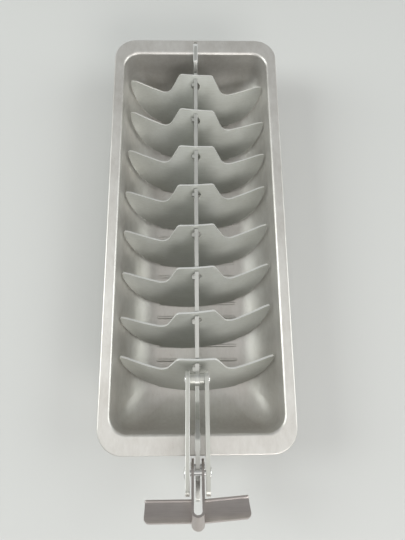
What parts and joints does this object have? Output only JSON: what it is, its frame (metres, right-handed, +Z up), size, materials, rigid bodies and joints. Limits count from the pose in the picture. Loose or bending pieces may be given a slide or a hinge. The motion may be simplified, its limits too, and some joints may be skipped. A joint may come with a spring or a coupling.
{
  "type": "lever ice cube tray",
  "caption": "Aluminium ice cube tray with a lift-out divider grid; a lever at the front slides a bar and tilts the dividers to free the cubes.",
  "frame": {"origin": "centre of the pan's underside", "axes": "+Z up, -Y towards the lever, +Y towards the far end, +X to the right seen from the lever"},
  "size_m": [0.108, 0.2944, 0.0619],
  "materials": {
    "drawn_aluminium": "satin",
    "grey_aluminium": "satin",
    "satin_aluminium": "satin",
    "rivet_aluminium": "polished"
  },
  "bodies": {
    "pan": {"pan": "drawn_aluminium"},
    "grid": {"centre_wall": "satin_aluminium", "lever_pivot_rivet": "rivet_aluminium"},
    "slide": {"slide_bar": "satin_aluminium", "link_rear_rivet": "rivet_aluminium", "spacer_left": "satin_aluminium", "spacer_right": "satin_aluminium"},
    "lever": {"lever_handle": "satin_aluminium", "link_front_rivet": "rivet_aluminium"},
    "links": {"link_left": "satin_aluminium", "link_right": "satin_aluminium"},
    "cross_1": {"divider_1": "grey_aluminium"},
    "cross_2": {"divider_2": "grey_aluminium"},
    "cross_3": {"divider_3": "grey_aluminium"},
    "cross_4": {"divider_4": "grey_aluminium"},
    "cross_5": {"divider_5": "grey_aluminium"},
    "cross_6": {"divider_6": "grey_aluminium"},
    "cross_7": {"divider_7": "grey_aluminium"},
    "cross_8": {"divider_8": "grey_aluminium"}
  },
  "joints": [
    {"name": "grid_lift", "type": "slide", "parent": "pan", "child": "grid", "axis": [0, 0, 1], "range_m": [0, 0.06]},
    {"name": "lever_swing", "type": "hinge", "parent": "grid", "child": "lever", "pos_m": [0, -0.1373, 0.0366], "axis": [-1, 0, 0], "range_deg": [-30, 20]},
    {"name": "bar_slide", "type": "slide", "parent": "grid", "child": "slide", "axis": [0, 1, 0], "range_m": [-0.00435, 0.0029]},
    {"name": "link_swing", "type": "hinge", "parent": "slide", "child": "links", "pos_m": [0, -0.0924, 0.036], "axis": [-1, 0, 0], "range_deg": [-1.26, 0.84]},
    {"name": "divider_tilt_1", "type": "hinge", "parent": "grid", "child": "cross_1", "pos_m": [0, 0.08896, 0.00335], "axis": [-1, 0, 0], "range_deg": [-7.2, 4.8]},
    {"name": "divider_tilt_2", "type": "hinge", "parent": "grid", "child": "cross_2", "pos_m": [0, 0.0623, 0.00335], "axis": [-1, 0, 0], "range_deg": [-7.2, 4.8]},
    {"name": "divider_tilt_3", "type": "hinge", "parent": "grid", "child": "cross_3", "pos_m": [0, 0.03564, 0.00335], "axis": [-1, 0, 0], "range_deg": [-7.2, 4.8]},
    {"name": "divider_tilt_4", "type": "hinge", "parent": "grid", "child": "cross_4", "pos_m": [0, 0.00898, 0.00335], "axis": [-1, 0, 0], "range_deg": [-7.2, 4.8]},
    {"name": "divider_tilt_5", "type": "hinge", "parent": "grid", "child": "cross_5", "pos_m": [0, -0.01768, 0.00335], "axis": [-1, 0, 0], "range_deg": [-7.2, 4.8]},
    {"name": "divider_tilt_6", "type": "hinge", "parent": "grid", "child": "cross_6", "pos_m": [0, -0.04434, 0.00335], "axis": [-1, 0, 0], "range_deg": [-7.2, 4.8]},
    {"name": "divider_tilt_7", "type": "hinge", "parent": "grid", "child": "cross_7", "pos_m": [0, -0.071, 0.00335], "axis": [-1, 0, 0], "range_deg": [-7.2, 4.8]},
    {"name": "divider_tilt_8", "type": "hinge", "parent": "grid", "child": "cross_8", "pos_m": [0, -0.09766, 0.00335], "axis": [-1, 0, 0], "range_deg": [-7.2, 4.8]}
  ],
  "couplings": [
    {"joint": "bar_slide", "follows": "lever_swing", "m_per_rad": 0.0083078},
    {"joint": "link_swing", "follows": "lever_swing", "ratio": 0.042},
    {"joint": "divider_tilt_1", "follows": "lever_swing", "ratio": 0.24},
    {"joint": "divider_tilt_2", "follows": "lever_swing", "ratio": 0.24},
    {"joint": "divider_tilt_3", "follows": "lever_swing", "ratio": 0.24},
    {"joint": "divider_tilt_4", "follows": "lever_swing", "ratio": 0.24},
    {"joint": "divider_tilt_5", "follows": "lever_swing", "ratio": 0.24},
    {"joint": "divider_tilt_6", "follows": "lever_swing", "ratio": 0.24},
    {"joint": "divider_tilt_7", "follows": "lever_swing", "ratio": 0.24},
    {"joint": "divider_tilt_8", "follows": "lever_swing", "ratio": 0.24}
  ]
}
